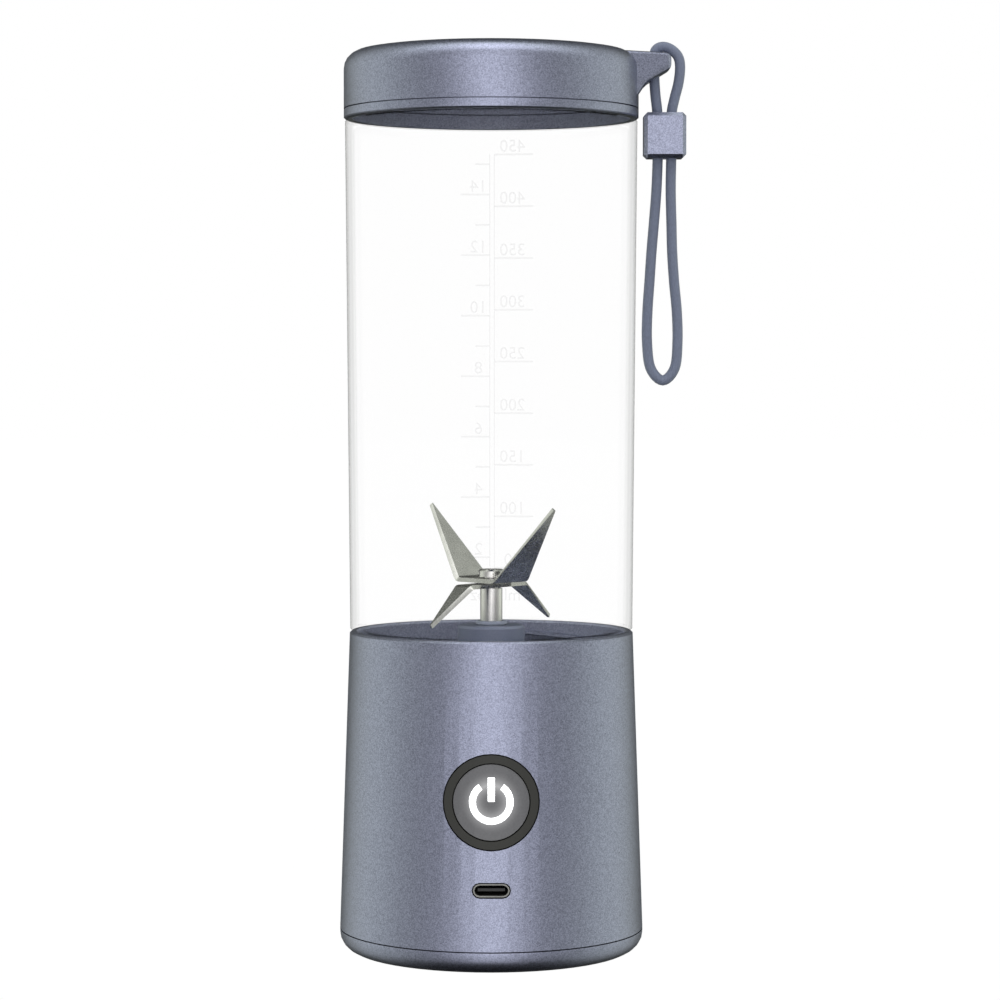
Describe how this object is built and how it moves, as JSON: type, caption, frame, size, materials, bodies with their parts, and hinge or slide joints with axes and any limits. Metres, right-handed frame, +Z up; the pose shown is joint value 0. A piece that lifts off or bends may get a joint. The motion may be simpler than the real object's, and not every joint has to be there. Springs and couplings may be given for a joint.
{
  "type": "portable cup blender",
  "caption": "Hand-held cup blender: tapered base with button and charging port, clear jar over crossed blades, screw lid with a cord wrist strap.",
  "frame": {"origin": "middle of the foot, on the surface it stands on", "axes": "+Z up; the button and the charging port face -Y; the strap hangs on +X"},
  "size_m": [0.0873, 0.0768, 0.2293],
  "materials": {
    "paint": "metallic slate paint with a fine flake over moulded plastic, satin",
    "slate_plastic": "satin",
    "clear_jar": "clear, glossy",
    "steel": "brushed",
    "zinc": "plated",
    "bronze": "sintered",
    "copper": "wound copper on steel plates",
    "ferrite": "matt",
    "bezel_plastic": "satin",
    "cap_plastic": "satin, translucent grey",
    "light": "lit white",
    "black_plastic": "matt",
    "foot_rubber": "matt",
    "silicone": "satin",
    "board": "solder mask",
    "cell_wrap": "shrink film",
    "red_wire": "insulation",
    "cord": "matt round cord"
  },
  "bodies": {
    "base": {"base_shell": "paint", "bottom_cover": "paint", "motor_deck": "slate_plastic", "motor_can": "zinc", "port_shell": "zinc", "cell_tab_left": "zinc", "cell_tab_right": "zinc", "cover_screw_1": "zinc", "cover_screw_2": "zinc", "cover_screw_3": "zinc", "bracket_screw_1": "zinc", "bracket_screw_2": "zinc", "bracket_screw_3": "zinc", "shaft_bearing": "bronze", "motor_terminal_left": "bronze", "motor_terminal_right": "bronze", "motor_magnet": "ferrite", "charge_coil": "ferrite", "button_bezel": "bezel_plastic", "motor_end_cap": "black_plastic", "motor_bracket": "black_plastic", "battery_tray": "black_plastic", "battery_clamp": "black_plastic", "charge_chip": "black_plastic", "switch_body": "black_plastic", "port_insulator": "black_plastic", "motor_lead_left": "black_plastic", "battery_lead_left": "black_plastic", "foot_pad": "foot_rubber", "shaft_seal": "silicone", "backlight_led_left": "silicone", "backlight_led_right": "silicone", "main_board": "board", "battery_cell_left": "cell_wrap", "battery_cell_right": "cell_wrap", "motor_lead_right": "red_wire", "battery_lead_right": "red_wire"},
    "button": {"button_cap": "cap_plastic", "button_light_guide": "light", "switch_plunger": "zinc"},
    "rotor": {"motor_armature": "copper", "motor_shaft": "steel", "shaft_coupling": "zinc", "blade_shaft": "steel", "blade_nut": "steel", "lower_blade": "steel", "upper_blade": "steel"},
    "jar_carrier": {"jar_seal": "silicone"},
    "jar": {"jar": "clear_jar"},
    "lid_carrier": {"lid_gasket": "silicone"},
    "lid": {"lid_shell": "paint", "lid_trim_ring": "paint", "lid_liner": "slate_plastic"},
    "strap": {"strap_cord": "cord"},
    "slider": {"strap_slider": "paint"}
  },
  "joints": [
    {"name": "button_press", "type": "slide", "parent": "base", "child": "button", "axis": [0, 1, 0], "range_m": [0, 0.0008], "stiffness_N_per_m": 800},
    {"name": "blade_spin", "type": "hinge", "parent": "base", "child": "rotor", "pos_m": [0, 0, 0.0703], "axis": [0, 0, 1], "continuous": true},
    {"name": "jar_lift", "type": "slide", "parent": "base", "child": "jar_carrier", "axis": [0, 0, 1], "range_m": [0, 0.0121]},
    {"name": "jar_turn", "type": "hinge", "parent": "jar_carrier", "child": "jar", "pos_m": [0, 0, 0.0813], "axis": [0, 0, 1], "range_deg": [0, 360]},
    {"name": "lid_lift", "type": "slide", "parent": "jar", "child": "lid_carrier", "axis": [0, 0, 1], "range_m": [0, 0.0121]},
    {"name": "lid_turn", "type": "hinge", "parent": "lid_carrier", "child": "lid", "pos_m": [0, 0, 0.2099], "axis": [0, 0, 1], "range_deg": [0, 360]},
    {"name": "strap_swing", "type": "hinge", "parent": "lid", "child": "strap", "pos_m": [0.0436, 0, 0.2244], "axis": [0, -1, 0], "range_deg": [0, 100], "deforming": ["strap_cord"]},
    {"name": "slider_slide", "type": "slide", "parent": "strap", "child": "slider", "axis": [0, 0, 1], "range_m": [-0.03, 0.003], "deforming": ["strap_cord"]}
  ],
  "couplings": [
    {"joint": "jar_lift", "follows": "jar_turn", "m_per_rad": 0.0019099},
    {"joint": "lid_lift", "follows": "lid_turn", "m_per_rad": 0.0019099}
  ]
}
